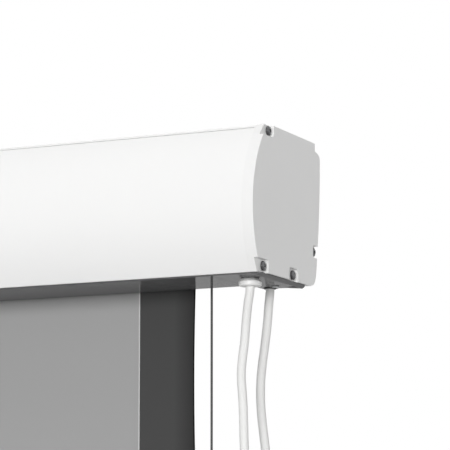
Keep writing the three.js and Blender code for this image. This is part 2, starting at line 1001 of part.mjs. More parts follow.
function fabricRod() {
  const drop = Math.sqrt((rod_radius + fit) ** 2 - (bar_slot / 2) ** 2);
  const z = bar_top_z - bar_wall - drop;
  return rodX(fabric_y, z, rod_radius, -edge_inner, edge_inner, small_round);
}

// The adjuster's stem rises through the bar, and the cord's end is crimped in its top.
function tensionAdjuster() {
  const seat = bar_top_z - bar_height - fit;
  const top = bar_top_z - bar_wall - fit;
  return join(
    rodZ(cord_d, fabric_y, adjuster_head_radius, seat - adjuster_head_height, seat, hex),
    rodZ(cord_d, fabric_y, adjuster_radius, seat - cut, top, small_round),
  );
}

// Wall brackets: a plate behind the case with a hook over its ledge and one under its flange.

const flange_under_z = rear_flange_z + seam_step;
const bracket_plate_y = back_y - seam_step + fit;
const lower_hook_top_z = flange_under_z - fit;
const lower_hook_low_z = lower_hook_top_z - wall_bracket_plate;
const upper_hook_z = ledge_z - seam_step + fit;

function wallBracket() {
  const outer_y = bracket_plate_y + wall_bracket_plate;
  const outline = [
    [lower_hook_y, lower_hook_low_z],
    [outer_y, lower_hook_low_z],
    [outer_y, upper_hook_z + wall_bracket_plate],
    [top_back_y + upper_hook_reach, upper_hook_z + wall_bracket_plate],
    [top_back_y + upper_hook_reach, upper_hook_z],
    [bracket_plate_y, upper_hook_z],
    [bracket_plate_y, lower_hook_top_z],
    [lower_hook_y, lower_hook_top_z],
  ].map(([y, z]) => new THREE.Vector2(y, z));
  const middle = half_length - wall_bracket_place;
  const low = middle - wall_bracket_width / 2;
  const hole_levels = [
    roller_z - wall_hole_spacing / 2,
    roller_z + wall_hole_spacing / 2,
  ];
  const wall_holes = hole_levels.map((z) =>
    alongY(circle(wall_hole_radius, small_round), bracket_plate_y - cut, outer_y + cut)
      .translate(middle, 0, z),
  );
  const screw_hole = rodZ(
    middle,
    clamp_screw_y,
    clamp_screw_radius + fit,
    lower_hook_low_z - cut,
    lower_hook_top_z + cut,
    small_round,
  );
  return cutFrom(alongX(outline, low, low + wall_bracket_width), ...wall_holes, screw_hole);
}

function clampScrew() {
  const middle = half_length - wall_bracket_place;
  const seat = lower_hook_low_z - fit;
  return join(
    rodZ(middle, clamp_screw_y, clamp_head_radius, seat - clamp_head_height, seat, small_round),
    rodZ(middle, clamp_screw_y, clamp_screw_radius, seat - cut, lower_hook_top_z, small_round),
  );
}

// Gland, grommet and terminal block at the motor end.

function cableGland() {
  const bore = cable_diameter / 2 + fit;
  const seat = -plate_drop - fit;
  const foot = seat - gland_flange_height;
  const profile = [
    [bore, foot],
    [gland_flange_radius - gland_bevel, foot],
    [gland_flange_radius, foot + gland_bevel],
    [gland_flange_radius, seat - gland_shoulder_height],
    [gland_shoulder_radius, seat],
    [gland_body_radius, seat],
    [gland_body_radius, seat + gland_height],
    [bore, seat + gland_height],
  ];
  return turnedZ(gland_d, gland_y, profile, round);
}

function cableGrommet() {
  const bore = cable_diameter / 2 + fit;
  const low = -plate_drop - grommet_lip - fit;
  const lip_radius = grommet_radius + fit + grommet_lip;
  const profile = [
    [bore, low],
    [lip_radius - fit, low],
    [lip_radius, low + grommet_lip / 2],
    [lip_radius, -plate_drop - fit],
    [grommet_radius, -plate_drop - fit],
    [grommet_radius, plate_top_z],
    [bore, plate_top_z],
  ];
  return turnedZ(grommet_d, grommet_y, profile, plain_round);
}

// The block lies over both cables' inner ends and stands on a foot on the panel.
function terminalBlock() {
  const low = cable_rise + fit;
  const high = low + block_height;
  const far = extrusion_gap + block_length;
  const body = box([extrusion_gap, far], [block_front_y, block_front_y + block_width], [low, high]);
  const foot = box(
    [far - block_foot_length, far],
    [block_front_y, block_front_y + block_foot_width],
    [panel_z + cover_wall + fit, (low + high) / 2],
  );
  return join(body, foot);
}

// A lead through hand-set points, with a round section.
function cableAlong(points, radius, sides, steps) {
  const curve = new THREE.CatmullRomCurve3(
    points.map(([x, y, z]) => new THREE.Vector3(x, y, z)),
    false,
    "centripetal",
  );
  return new THREE.ExtrudeGeometry(new THREE.Shape(circle(radius, sides)), {
    steps,
    extrudePath: curve,
    bevelEnabled: false,
  });
}

// Route points of the two cables, in the part's own frame, from inside the case to the coils.
const power_route = [
  [1056.3, -32.5, -111.2], [1056.3, -32.5, -117.4], [1056.3, -32.5, -124.4], [1056.3, -32.5, -130.4],
  [1055.8, -32.5, -136.6], [1054.5, -32.5, -143.5], [1052.6, -32.5, -159.4], [1051.1, -32.5, -176.6],
  [1049.3, -32.5, -189.7], [1048.2, -32.5, -200.4], [1048.3, -32.5, -209.4], [1049.1, -32.5, -218.5],
  [1049.8, -32.5, -230.8], [1050.3, -32.5, -244.7], [1050.9, -33.2, -257.7], [1054, -37, -284.4],
  [1060, -45.4, -309.4], [1063.4, -50.5, -329.4], [1064, -51.5, -340.4], [1064, -51.5, -347.6],
];
const control_route = [
  [1046, 30.1, -111.2], [1046, 30.1, -116.4], [1046, 30.1, -121.4], [1046, 30.1, -126.4],
  [1045.7, 30.1, -131], [1045, 30.1, -137.2], [1043.5, 30.1, -153.9], [1040.9, 30.1, -174.1],
  [1038.8, 30.1, -188.4], [1037.4, 30.1, -201.1], [1037, 30.1, -212.9], [1037.4, 30.1, -225.6],
  [1038.6, 30.1, -238.2], [1040.1, 30.1, -250], [1041.1, 30.8, -260.4], [1041.5, 36.4, -284.4],
  [1040.6, 46, -309.4], [1040, 51.4, -329.4], [1040, 52.5, -340.4], [1040, 52.5, -347.6],
];

function cableTube(route) {
  return cableAlong(route, cable_diameter / 2, thin_round, route_steps);
}

// The middle line of a coil: it winds in over the first layer and out over the second, and
// changes layer in the half turn where it turns back. Its ends run straight down, at the
// coil's front or back.
function coilLine(first_x, second_x, side) {
  const count = coil_turns * coil_steps;
  const middle = coil_turns / 2;
  const points = [];
  for (let i = 0; i <= count; i += 1) {
    const turn = i / coil_steps;
    const angle = 2 * Math.PI * turn;
    const radius = coil_inner_radius + coil_pitch * Math.abs(turn - middle);
    const climb = THREE.MathUtils.smoothstep(turn, middle - layer_change, middle + layer_change);
    points.push(
      new THREE.Vector3(
        first_x + (second_x - first_x) * climb,
        coil_centre_y + side * radius * Math.cos(angle),
        coil_centre_z - radius * Math.sin(angle),
      ),
    );
  }
  const start = points[0].clone();
  const end = points[count].clone();
  start.z += cable_diameter;
  end.z -= coil_tail;
  return [start, ...points, end];
}

// The least clear distance between stretches of the coil that are not next to each other.
function leastGap(line) {
  const skip = coil_steps / 2;
  let least = Infinity;
  line.forEach((point, i) => {
    for (let j = i + skip; j < line.length; j += 1) least = Math.min(least, point.distanceTo(line[j]));
  });
  return least - cable_diameter;
}

// An unbroken tube along a line of points, closed flat at both ends.
function tubeAlong(line, radius, sides) {
  const across = new THREE.Vector3(1, 0, 0);
  const places = [];
  line.forEach((point, i) => {
    const before = line[Math.max(i - 1, 0)];
    const after = line[Math.min(i + 1, line.length - 1)];
    const ahead = after.clone().sub(before).normalize();
    if (i < 2 || i > line.length - 3) ahead.set(0, 0, -1);
    const side = across.clone().addScaledVector(ahead, -across.dot(ahead)).normalize();
    const up = ahead.clone().cross(side);
    for (let k = 0; k < sides; k += 1) {
      const angle = (2 * Math.PI * k) / sides;
      const place = point.clone();
      place.addScaledVector(side, radius * Math.cos(angle));
      place.addScaledVector(up, radius * Math.sin(angle));
      places.push(place.x, place.y, place.z);
    }
  });
  const faces = [];
  for (let i = 0; i + 1 < line.length; i += 1) {
    for (let k = 0; k < sides; k += 1) {
      const a = i * sides + k;
      const b = i * sides + ((k + 1) % sides);
      faces.push(a, b, b + sides, a, b + sides, a + sides);
    }
  }
  const last = (line.length - 1) * sides;
  for (let k = 1; k + 1 < sides; k += 1) {
    faces.push(0, k + 1, k);
    faces.push(last, last + k, last + k + 1);
  }
  const geometry = new THREE.BufferGeometry();
  geometry.setAttribute("position", new THREE.Float32BufferAttribute(places, 3));
  geometry.setIndex(faces);
  return geometry;
}

function cableCoil(name, first_x, second_x, side) {
  const line = coilLine(first_x, second_x, side);
  const gap = leastGap(line);
  console.log(name + " least gap to itself " + gap.toFixed(2) + " mm");
  if (gap < least_coil_gap) throw new Error(name + " touches itself");
  return tubeAlong(line, cable_diameter / 2, hex);
}

// A band round the coil's top, with a hole that takes all its turns side by side.
function coilTie(first_x, second_x) {
  const half = cable_diameter / 2;
  const inside = new THREE.Path();
  const low_x = Math.min(first_x, second_x) - half - fit;
  const high_x = Math.max(first_x, second_x) + half + fit;
  const inner = coil_inner_radius - half;
  const outer = coil_inner_radius + (coil_turns / 2) * coil_pitch + half;
  const low_z = coil_centre_z + inner - tie_thickness / 4;
  const high_z = coil_centre_z + outer;
  inside.moveTo(low_x, low_z);
  inside.lineTo(low_x, high_z);
  inside.lineTo(high_x, high_z);
  inside.lineTo(high_x, low_z);
  const band = new THREE.Shape([
    new THREE.Vector2(low_x - tie_thickness, low_z - tie_thickness),
    new THREE.Vector2(high_x + tie_thickness, low_z - tie_thickness),
    new THREE.Vector2(high_x + tie_thickness, high_z + tie_thickness),
    new THREE.Vector2(low_x - tie_thickness, high_z + tie_thickness),
  ]);
  band.holes.push(inside);
  return alongY(band, coil_centre_y - tie_width / 2, coil_centre_y + tie_width / 2);
}

const front = -1;
const back = 1;
const coil_outer_radius = coil_inner_radius + (coil_turns / 2) * coil_pitch;
const tail_z = coil_centre_z - coil_tail - fit;

function tailY(side) {
  return coil_centre_y + side * coil_outer_radius;
}

function powerPlug(x) {
  const tail_y = tailY(front);
  const neck_z = tail_z - plug_neck_height;
  const profile = [
    [0, neck_z - plug_height],
    [plug_radius, neck_z - plug_height],
    [plug_radius, neck_z - plug_height / 4],
    [plug_radius * plug_shoulder_share, neck_z],
    [plug_neck_radius, neck_z + fit],
    [plug_neck_radius * plug_top_share, tail_z],
    [0, tail_z],
  ];
  const foot = neck_z - plug_height;
  const pins = [-pin_spacing / 2, pin_spacing / 2].map((side) =>
    rodZ(x + side, tail_y, pin_radius, foot - pin_length, foot + cut, small_round),
  );
  return join(turnedZ(x, tail_y, profile, round), ...pins);
}

function controlConnector(x) {
  const tail_y = tailY(back);
  const neck_z = tail_z - plug_neck_height / 2;
  const body = box(
    [x - connector_width / 2, x + connector_width / 2],
    [tail_y - connector_depth / 2, tail_y + connector_depth / 2],
    [neck_z - connector_height, neck_z],
  );
  return join(rodZ(x, tail_y, cable_diameter / 2 + fit * 2, neck_z - cut, tail_z, small_round), body);
}

// Assembly.
addTo(section, "casing_profile", casingProfile(), white_metal);
addTo(section, "front_cover", frontCover(), white_metal);
addTo(section, "bottom_panel", bottomPanel(), aluminium);
addTo(section, "bottom_cover", bottomCover(), dark_gloss);
addTo(right_end, "bottom_end_plate_right", bottomEndPlate(true), dark_gloss);
addTo(left_end, "bottom_end_plate_left", bottomEndPlate(false), dark_gloss);
addBothEnds("bottom_plate_screw", bottomPlateScrew(), steel);
addBothEnds("end_cap", endCap(), white_plastic);
Object.entries(end_screws).forEach(([place, at]) => {
  addBothEnds("end_cap_screw_" + place, endCapScrew(at), dark_steel);
});
addBothEnds("roller_bracket", rollerBracket(), white_metal);
addTo(right_end, "motor_clip", motorClip(), steel);
addTo(right_end, "motor_head", motorHead(), dark_plastic);
addTo(right_end, "motor_can", motorCan(), steel);
addTo(right_end, "limit_screw_up", limitScrew(limitScrewPlaces()[0]), white_plastic);
addTo(right_end, "limit_screw_down", limitScrew(limitScrewPlaces()[1]), grey_plastic);
addTo(left_end, "idler_pin", idlerPin(), steel);

addTo(section, "roller_tube", rollerTube(), aluminium);
addTo(section, "fabric_wrap", fabricWrap(), black_fabric);
addTo(right_end, "limit_crown", limitCrown(), dark_plastic);
addTo(right_end, "drive_wheel", driveWheel(), grey_plastic);
addTo(left_end, "idler_plug", idlerPlug(), grey_plastic);
addBothEnds("cord_clamp", cordClamp(), grey_plastic);

addTo(section, "viewing_surface", viewingSurface(), grey_fabric);
addBothEnds("side_border", sideBorder(), black_fabric);
addBothEnds("tension_cord", tensionCord(), cord_grey);

addTo(section, "bottom_border", bottomBorder(), black_fabric);
addTo(section, "bottom_bar", bottomBar(), dark_steel);
addBothEnds("bar_end_cap", barEndCap(), dark_plastic);
addTo(section, "fabric_rod", fabricRod(), grey_plastic);
addBothEnds("tension_adjuster", tensionAdjuster(), dark_plastic);

addBothEnds("wall_bracket", wallBracket(), white_metal);
addBothEnds("clamp_screw", clampScrew(), steel);

addTo(right_end, "cable_gland", cableGland(), white_plastic);
addTo(right_end, "cable_grommet", cableGrommet(), dark_plastic);
addTo(right_end, "terminal_block", terminalBlock(), grey_plastic);

const power_x = power_route[power_route.length - 1][0];
const power_second_x = power_x - coil_layer_step;
const power_coil = cableCoil("power coil", power_x, power_second_x, front);
addTo(screen, "power_cable", cableTube(power_route), cable_white);
addTo(screen, "power_cable_coil", power_coil, cable_white);
addTo(screen, "power_coil_tie", coilTie(power_x, power_second_x), dark_plastic);
addTo(screen, "power_plug", powerPlug(power_second_x), white_plastic);

const control_x = control_route[control_route.length - 1][0];
const control_second_x = control_x - coil_layer_step;
const control_coil = cableCoil("control coil", control_x, control_second_x, back);
addTo(screen, "control_cable", cableTube(control_route), cable_white);
addTo(screen, "control_cable_coil", control_coil, cable_white);
addTo(screen, "control_coil_tie", coilTie(control_x, control_second_x), dark_plastic);
addTo(screen, "control_connector", controlConnector(control_second_x), grey_plastic);

export default screen;
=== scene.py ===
import math

import bmesh
import bpy
from mathutils import Matrix, Quaternion, Vector


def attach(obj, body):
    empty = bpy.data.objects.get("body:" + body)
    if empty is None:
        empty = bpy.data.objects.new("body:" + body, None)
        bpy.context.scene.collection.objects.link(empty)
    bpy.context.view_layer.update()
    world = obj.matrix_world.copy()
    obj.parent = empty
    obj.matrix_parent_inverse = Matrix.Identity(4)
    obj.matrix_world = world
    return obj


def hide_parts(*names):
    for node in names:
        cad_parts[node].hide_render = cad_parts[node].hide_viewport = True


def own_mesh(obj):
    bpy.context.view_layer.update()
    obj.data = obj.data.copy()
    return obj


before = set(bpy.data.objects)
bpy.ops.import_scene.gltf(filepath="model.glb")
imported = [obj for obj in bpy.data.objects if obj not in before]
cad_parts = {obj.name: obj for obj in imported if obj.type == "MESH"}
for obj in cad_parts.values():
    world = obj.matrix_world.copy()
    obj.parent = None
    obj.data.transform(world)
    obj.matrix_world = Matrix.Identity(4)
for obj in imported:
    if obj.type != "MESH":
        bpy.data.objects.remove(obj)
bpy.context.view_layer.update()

# The camera: a long lens far away, low and to the right of the motor end.
CAMERA_PLACE = Vector((1.90606, -1.88496, -0.40256))
CAMERA_TURN = math.radians(25.2248)
CAMERA_PITCH = math.radians(8.9985)
CAMERA_LENS_MM = 200
CAMERA_SENSOR_MM = 36

# The case's section starts at its front lower edge: its places in the frame of the part.
SECTION_Y = -0.0635
SECTION_Z = -0.1234
HALF_LENGTH = 1.08

# The fabric.
HALF_PICTURE = 0.93
BORDER_EDGE = 0.9856
EDGE_SCALLOP = 0.0032
SCALLOP_PITCH = 0.25
TOP_SCALLOP_Z = -0.0734
FABRIC_Y = 0.0147
FABRIC_THICKNESS = 0.0003
FABRIC_TOP_Z = -0.0614
PICTURE_FOOT_Z = -1.1694
BORDER_FOOT_Z = -1.2235
SCALLOP_STEPS = 24
EDGE_STRIP = 0.0013
# The black of the border: plain as far as this share of its width, then darker at its edge with
# painted shade.
PAINTED_SHADE_START_SHARE = 0.6
BORDER_GREYS = (0.059, 0.026)
BORDER_ROUGHNESS = (0.72, 0.86)
BORDER_SPECULAR = 0.25
HALF_COLUMNS = 12
BORDER_COLUMNS = 6
WEAVE_PITCH = 0.0008
WEAVE_DEPTH = 0.00003
CUT_DEPTH = 0.00002
SEAM_WIDTH = 0.001
SEAM_PROUD = 0.00015
# The seam's section: places across in its widths, and rises in its heights.
SEAM_SECTION = ((-0.5, 0), (-0.3, 0.8), (0, 1), (0.3, 0.8), (0.5, 0))

# The tension cords, the tabs that lead them, the roller and the bar.
CORD_X = 0.9987
CORD_RADIUS = 0.001
CORD_SIDES = 16
CORD_FOOT_Z = -1.2246
TAB_HEIGHT = 0.04
TAB_LAP = 0.01
TAB_THICKNESS = 0.00035
TAB_STEPS = 8
# The tabs gather lower than the fabric does, clear of the cord clamps and the tube.
SLEEVE_RADIUS = 0.00165
SLEEVE_START = math.radians(165)
SLEEVE_TURN = math.radians(320)
SLEEVE_STEPS = 20
ROLLER_Y = -0.0115
ROLLER_Z = -0.0614
WOUND_RADII = (0.02542, 0.02562)
WOUND_THICKNESS = 0.00016
WOUND_STEPS = 64
WOUND_LAP_STEPS = 4
BAR_TOP_Z = -1.223
BAR_WALL = 0.0016
ROD_DROP = 0.00262
ROD_RADIUS = 0.003
HEM_GAP = 0.00016
HEM_START_DEGREES = 115
HEM_TURN_DEGREES = 410
HEM_STEPS = 36
# The steps of that turn which the fabric follows round the rod.
HEM_PART = range(4, 30)

# Screws: place along the case, then y and z in the section.
SCREW_RADIUS = 0.002
SCREW_THREAD = 0.0004
SCREW_PITCH = 0.001
SCREW_SIDES = 24
SCREW_HEAD_RADIUS = 0.004
SCREW_HEAD_HEIGHT = 0.0024
HEAD_STEPS = 6
HEAD_EDGE_SHARE = 0.55
HEAD_RIM_SHARE = 0.3
RECESS_WIDTH = 0.0011
RECESS_REACH = 0.0022
RECESS_DEPTH = 0.0013
RECESS_LEAD_SHARE = 0.2
RECESS_FOOT_SHARES = (0.5, 0.7)
CAP_SCREW_D = 0.0032
CAP_SCREW_LENGTH = 0.02
CAP_SCREWS = {
    "top": (0.0212, 0.1192),
    "front": (0.0102, 0.0056),
    "slot": (0.07, 0.0054),
    "rear": (0.1125, 0.0304),
}
CAP_SCREW_TURN = 25
CAP_SCREW_TURN_STEP = 31
PLATE_SCREW = (0.0245, 0.084, -0.0013)
PLATE_SCREW_TURN = 20
PLATE_SCREW_LENGTH = 0.0044
PLATE_HEAD_RADIUS = 0.0032
PLATE_HEAD_HEIGHT = 0.0008

# The cables: both leave the motor end's underside and hang to a tied coil below the view.
CABLE_DIAMETER = 0.0075
COIL_TURNS = 6
COIL_INNER_RADIUS = 0.028
COIL_PITCH = 0.008
COIL_LAYER_STEP = 0.008
COIL_STEPS = 36
COIL_TAIL = 0.035
COIL_CENTRE = (0.0005, -0.3554)
LAYER_CHANGE = 0.25
FRONT = -1
BACK = 1
POWER_ROUTE = [
    (1.0563, -0.0325, -0.1112), (1.0563, -0.0325, -0.1174), (1.0563, -0.0325, -0.1244),
    (1.0563, -0.0325, -0.1304), (1.0558, -0.0325, -0.1366), (1.0545, -0.0325, -0.1435),
    (1.0526, -0.0325, -0.1594), (1.0511, -0.0325, -0.1766), (1.0493, -0.0325, -0.1897),
    (1.0482, -0.0325, -0.2004), (1.0483, -0.0325, -0.2094), (1.0491, -0.0325, -0.2185),
    (1.0498, -0.0325, -0.2308), (1.0503, -0.0325, -0.2447), (1.0509, -0.0332, -0.2577),
    (1.054, -0.037, -0.2844), (1.06, -0.0454, -0.3094), (1.0634, -0.0505, -0.3294),
    (1.064, -0.0515, -0.3404),
]
CONTROL_ROUTE = [
    (1.046, 0.0301, -0.1112), (1.046, 0.0301, -0.1164), (1.046, 0.0301, -0.1214),
    (1.046, 0.0301, -0.1264), (1.0457, 0.0301, -0.131), (1.045, 0.0301, -0.1372),
    (1.0435, 0.0301, -0.1539), (1.0409, 0.0301, -0.1741), (1.0388, 0.0301, -0.1884),
    (1.0374, 0.0301, -0.2011), (1.037, 0.0301, -0.2129), (1.0374, 0.0301, -0.2256),
    (1.0386, 0.0301, -0.2382), (1.0401, 0.0301, -0.25), (1.0411, 0.0308, -0.2604),
    (1.0415, 0.0364, -0.2844), (1.0406, 0.046, -0.3094), (1.04, 0.0514, -0.3294),
    (1.04, 0.0525, -0.3404),
]
ROUTE_STEPS = 6
CABLE_RESOLUTION = 5

# Light, floor and the edges that moulding and bending leave.
SKY = 0.25
# Each sun's direction, strength and width in degrees.
SUNS = {
    "key": ((0.32, -0.86, -0.02), 3.7, 24),
    "top": ((0, -0.2, 0.98), 0.85, 60),
    "rear": ((-0.4, 0.9, 0.1), 1.0, 40),
}
FLOOR_Z = -1.5
FLOOR_SIZE = 60
FLOOR_FADE = (12, 28)
FLOOR_WHITE_SHARE = 0.22
FLOOR_GREYS = (0.74, 0.77)
FLOOR_ROUGHNESS = (0.8, 0.95)
FLOOR_RELIEF = 0.001
FLOOR_BUMP = 0.2
EDGE_ROUND = 0.0003
EDGE_SEGMENTS = 3
EDGE_ROUNDS = {
    "bottom_end_plate_right": 0.0004,
    "bottom_end_plate_left": 0.0004,
    "cable_gland": 0.0005,
}
WELD = 1e-5
FLAT_ANGLE = math.radians(1)
EDGE_ANGLE = math.radians(40)


# Camera.


def make_camera():
    data = bpy.data.cameras.new("camera")
    data.lens = CAMERA_LENS_MM
    data.sensor_width = CAMERA_SENSOR_MM
    data.clip_end = FLOOR_SIZE
    camera = bpy.data.objects.new("camera", data)
    camera.location = CAMERA_PLACE
    camera.rotation_euler = (math.pi / 2 + CAMERA_PITCH, 0, CAMERA_TURN)
    bpy.context.collection.objects.link(camera)
    bpy.context.scene.camera = camera


# Materials. Each has its grain in real size, from the object's own coordinates.


SOCKETS = {"ior": "IOR", "metallic": "Metallic", "specular": "Specular IOR Level"}

# Each noise's scale, in features per metre, and its detail.
GRAINS = {
    "peel": (700, 2),
    "dust": (9, 4),
    "sheen": (40, 5),
    "erosion": (2600, 2),
    "flow": (22, 3),
    "drawing": (1800, 4),
    "stain": (30, 4),
    "speckle": (1500, 3),
    "cloud": (6, 3),
    "strand": (2000, 3),
    "floor_patch": (0.6, 4),
    "floor_sheen": (3, 3),
    "floor_relief": (60, 3),
}

# What the darkest spots keep of the colour (for the braid, painted shade in its grooves), and how
# far roughness falls and rises.
KEPT_SHARES = {"painted": 0.985, "moulded": 0.97, "brushed": 0.86, "woven": 0.96, "braided": 0.6}
ROUGH_SPREADS = {
    "painted": (0.04, 0.05),
    "moulded": (0.05, 0.06),
    "brushed": (0.08, 0.12),
    "woven": (0.06, 0.06),
}
PEEL_DEPTH = 0.00004
SPARK_DEPTH = 0.00006
DRAWN_DEPTH = 0.00002
BRAID_DEPTH = 0.0001
SPARK_BUMP = 0.5
DRAWN_BUMP = 0.6
WEAVE_BUMP = 0.6
SPECKLE_BUMP = 0.4
BRAID_BUMP = 0.8
BRAID_ROUGHNESS = (0.65, 0.85)
BRAID_SPECULAR = 0.3
DRAWN_STRETCH = (0.02, 1, 1)
WAVE_DISTORTION = 0.6
WAVE_DETAIL_SCALE = 4.0
# A wave texture runs through this many radians per metre at a scale of one.
WAVE_RATE = 20


class Nodes:
    """Builds one material's nodes."""

    def __init__(self, name):
        self.material = bpy.data.materials.new(name)
        self.material.use_nodes = True
        self.tree = self.material.node_tree
        self.shader = self.tree.nodes["Principled BSDF"]

    def add(self, kind, inputs=(), **settings):
        node = self.tree.nodes.new(kind)
        for key, value in settings.items():
            setattr(node, key, value)
        for key, value in dict(inputs).items():
            self.put(node.inputs[key], value)
        return node

    def put(self, socket, value):
        if isinstance(value, bpy.types.NodeSocket):
            self.tree.links.new(value, socket)
        else:
            socket.default_value = value

    def place(self):
        return self.add("ShaderNodeTexCoord").outputs["Object"]

    def grain(self, name, place=None):
        scale, detail = GRAINS[name]
        inputs = {"Vector": place or self.place(), "Scale": scale, "Detail": detail}
        return self.add("ShaderNodeTexNoise", inputs).outputs["Fac"]

    def spread(self, value, low, high):
        inputs = {"Value": value, "To Min": low, "To Max": high}
        return self.add("ShaderNodeMapRange", inputs).outputs["Result"]

    def rough(self, kind, value, roughness):
        fall, rise = ROUGH_SPREADS[kind]
        return self.spread(value, roughness - fall, roughness + rise)

    def blend(self, kind, value, colour):
        return self.tint(value, tuple(c * KEPT_SHARES[kind] for c in colour), colour)

    def tint(self, value, dark, light):
        inputs = {"Fac": value, "Color1": (*dark, 1), "Color2": (*light, 1)}
        return self.add("ShaderNodeMixRGB", inputs).outputs["Color"]

    def bump(self, height, distance, strength=1.0, after=None):
        inputs = {"Height": height, "Distance": distance, "Strength": strength}
        if after:
            inputs["Normal"] = after
        return self.add("ShaderNodeBump", inputs).outputs["Normal"]

    def finish(self, colour, roughness, normal, **constants):
        self.put(self.shader.inputs["Base Color"], colour)
        self.put(self.shader.inputs["Roughness"], roughness)
        self.put(self.shader.inputs["Normal"], normal)
        for key, value in constants.items():
            self.shader.inputs[SOCKETS[key]].default_value = value
        return self.material


def grey(value):
    return (value, value, value)


def painted(name, colour, roughness, depth=PEEL_DEPTH, **constants):
    """Paint or lacquer: a slight orange peel, and dust that dulls it here and there."""
    n = Nodes(name)
    peel = n.grain("peel")
    return n.finish(
        n.blend("painted", n.grain("dust"), colour),
        n.rough("painted", n.grain("sheen"), roughness),
        n.bump(peel, depth),
        **constants,
    )


def moulded(name, colour, roughness, depth=SPARK_DEPTH, **constants):
    """Moulded plastic with a fine spark-eroded grain and faint flow marks."""
    n = Nodes(name)
    erosion = n.grain("erosion")
    return n.finish(
        n.blend("moulded", n.grain("flow"), colour),
        n.rough("moulded", erosion, roughness),
        n.bump(erosion, depth, SPARK_BUMP),
        **constants,
    )


def brushed(name, colour, roughness, stretch=DRAWN_STRETCH, **constants):
    """Metal with a drawn or rolled grain along one axis, and slight stains."""
    n = Nodes(name)
    mapping = n.add("ShaderNodeMapping", {"Vector": n.place(), "Scale": stretch})
    drawing = n.grain("drawing", mapping.outputs["Vector"])
    return n.finish(
        n.blend("brushed", n.grain("stain"), colour),
        n.rough("brushed", drawing, roughness),
        n.bump(drawing, DRAWN_DEPTH, DRAWN_BUMP),
        metallic=1.0,
        **constants,
    )


def product(n, heights):
    return n.add("ShaderNodeMath", {0: heights[0], 1: heights[1]}, operation="MULTIPLY").outputs[0]


def weave_height(n):
    """Two crossing sets of threads, in the fabric's own plane."""
    inputs = {
        "Vector": n.place(),
        "Scale": math.tau / WEAVE_PITCH / WAVE_RATE,
        "Distortion": WAVE_DISTORTION,
        "Detail Scale": WAVE_DETAIL_SCALE,
    }
    waves = [n.add("ShaderNodeTexWave", inputs, bands_direction=axis) for axis in ("X", "Z")]
    return product(n, [wave.outputs["Fac"] for wave in waves])


def weave_bump(n, speckle, depth):
    rise = n.bump(speckle, depth, SPECKLE_BUMP)
    return n.bump(weave_height(n), depth, WEAVE_BUMP, rise)


def woven(name, colour, roughness, depth=WEAVE_DEPTH, **constants):
    """Coated screen fabric: a fine weave under a matt coat, with an even fine speckle."""
    n = Nodes(name)
    speckle = n.grain("speckle")
    return n.finish(
        n.blend("woven", n.grain("cloud"), colour),
        n.rough("woven", speckle, roughness),
        weave_bump(n, speckle, depth),
        **constants,
    )


def painted_shade_border(name):
    """Black border fabric with the same weave, darker along its outer third as painted shade."""
    n = Nodes(name)
    painted_shade_start = HALF_PICTURE + PAINTED_SHADE_START_SHARE * (BORDER_EDGE - HALF_PICTURE)
    sideways = n.add("ShaderNodeSeparateXYZ", {"Vector": n.place()}).outputs["X"]
    width = n.add("ShaderNodeMath", {0: sideways}, operation="ABSOLUTE").outputs[0]
    share = n.add(
        "ShaderNodeMapRange",
        {"Value": width, "From Min": painted_shade_start, "From Max": BORDER_EDGE - EDGE_SCALLOP},
    )
    speckle = n.grain("speckle")
    # The outer grey is painted shade: the border's black darkens towards its edge.
    inner, outer = BORDER_GREYS
    return n.finish(
        n.tint(share.outputs["Result"], grey(inner), grey(outer)),
        n.spread(speckle, *BORDER_ROUGHNESS),
        weave_bump(n, speckle, WEAVE_DEPTH),
        specular=BORDER_SPECULAR,
    )


def braided(name, colour, pitch):
    """A braided cord: two sets of strands that wind round it, with painted shade in the grooves
    between them.
    """
    n = Nodes(name)
    heights = []
    for lean in (-math.pi / 4, math.pi / 4):
        mapping = n.add("ShaderNodeMapping", {"Vector": n.place(), "Rotation": (0, lean, 0)})
        wave = n.add(
            "ShaderNodeTexWave",
            {"Vector": mapping.outputs["Vector"], "Scale": math.tau / pitch / WAVE_RATE},
            bands_direction="Z",
        )
        heights.append(wave.outputs["Fac"])
    strands = product(n, heights)
    return n.finish(
        # The low places between the strands are painted darker: painted shade in the grooves.
        n.blend("braided", strands, colour),
        n.spread(n.grain("strand"), *BRAID_ROUGHNESS),
        n.bump(strands, BRAID_DEPTH, BRAID_BUMP),
        specular=BRAID_SPECULAR,
    )


def plain_name(material):
    """The name without the number that sets it apart from the solids' own material."""
    return material.name.split(".")[0]


def make_materials():
    """Each with its colour and roughness, by the names that the solids' materials have."""
    made = [
        painted("white_lacquer", (0.87, 0.87, 0.865), 0.42),
        moulded("cap_plastic", (0.86, 0.86, 0.855), 0.5),
        moulded("gland_plastic", (0.86, 0.86, 0.85), 0.38),
        painted("dark_gloss", (0.13, 0.13, 0.132), 0.05, depth=0.000003, ior=1.1),
        brushed("plain_aluminium", (0.70, 0.71, 0.72), 0.34),
        painted("black_lacquer", (0.028, 0.028, 0.03), 0.38),
        moulded("dark_plastic", (0.032, 0.032, 0.034), 0.48),
        brushed("zinc_steel", (0.60, 0.61, 0.62), 0.32, stretch=(1, 0.05, 1)),
        brushed("black_steel", (0.15, 0.15, 0.155), 0.18, stretch=(1, 1, 1)),
        moulded("grey_plastic", (0.24, 0.245, 0.255), 0.46),
        woven("screen_fabric", grey(0.35), 0.8),
        painted_shade_border("black_fabric"),
        braided("tension_cord", grey(0.12), pitch=0.0016),
        moulded("cable_jacket", (0.84, 0.84, 0.83), 0.55, depth=0.00003, specular=0.1),
        woven("fabric_edge", grey(0.6), 0.6, CUT_DEPTH),
        woven("border_cut", grey(0.006), 0.85, CUT_DEPTH, specular=0.1),
    ]
    return {plain_name(material): material for material in made}


# The CAD solids that stay: merged, with slightly rounded edges and smooth curves.


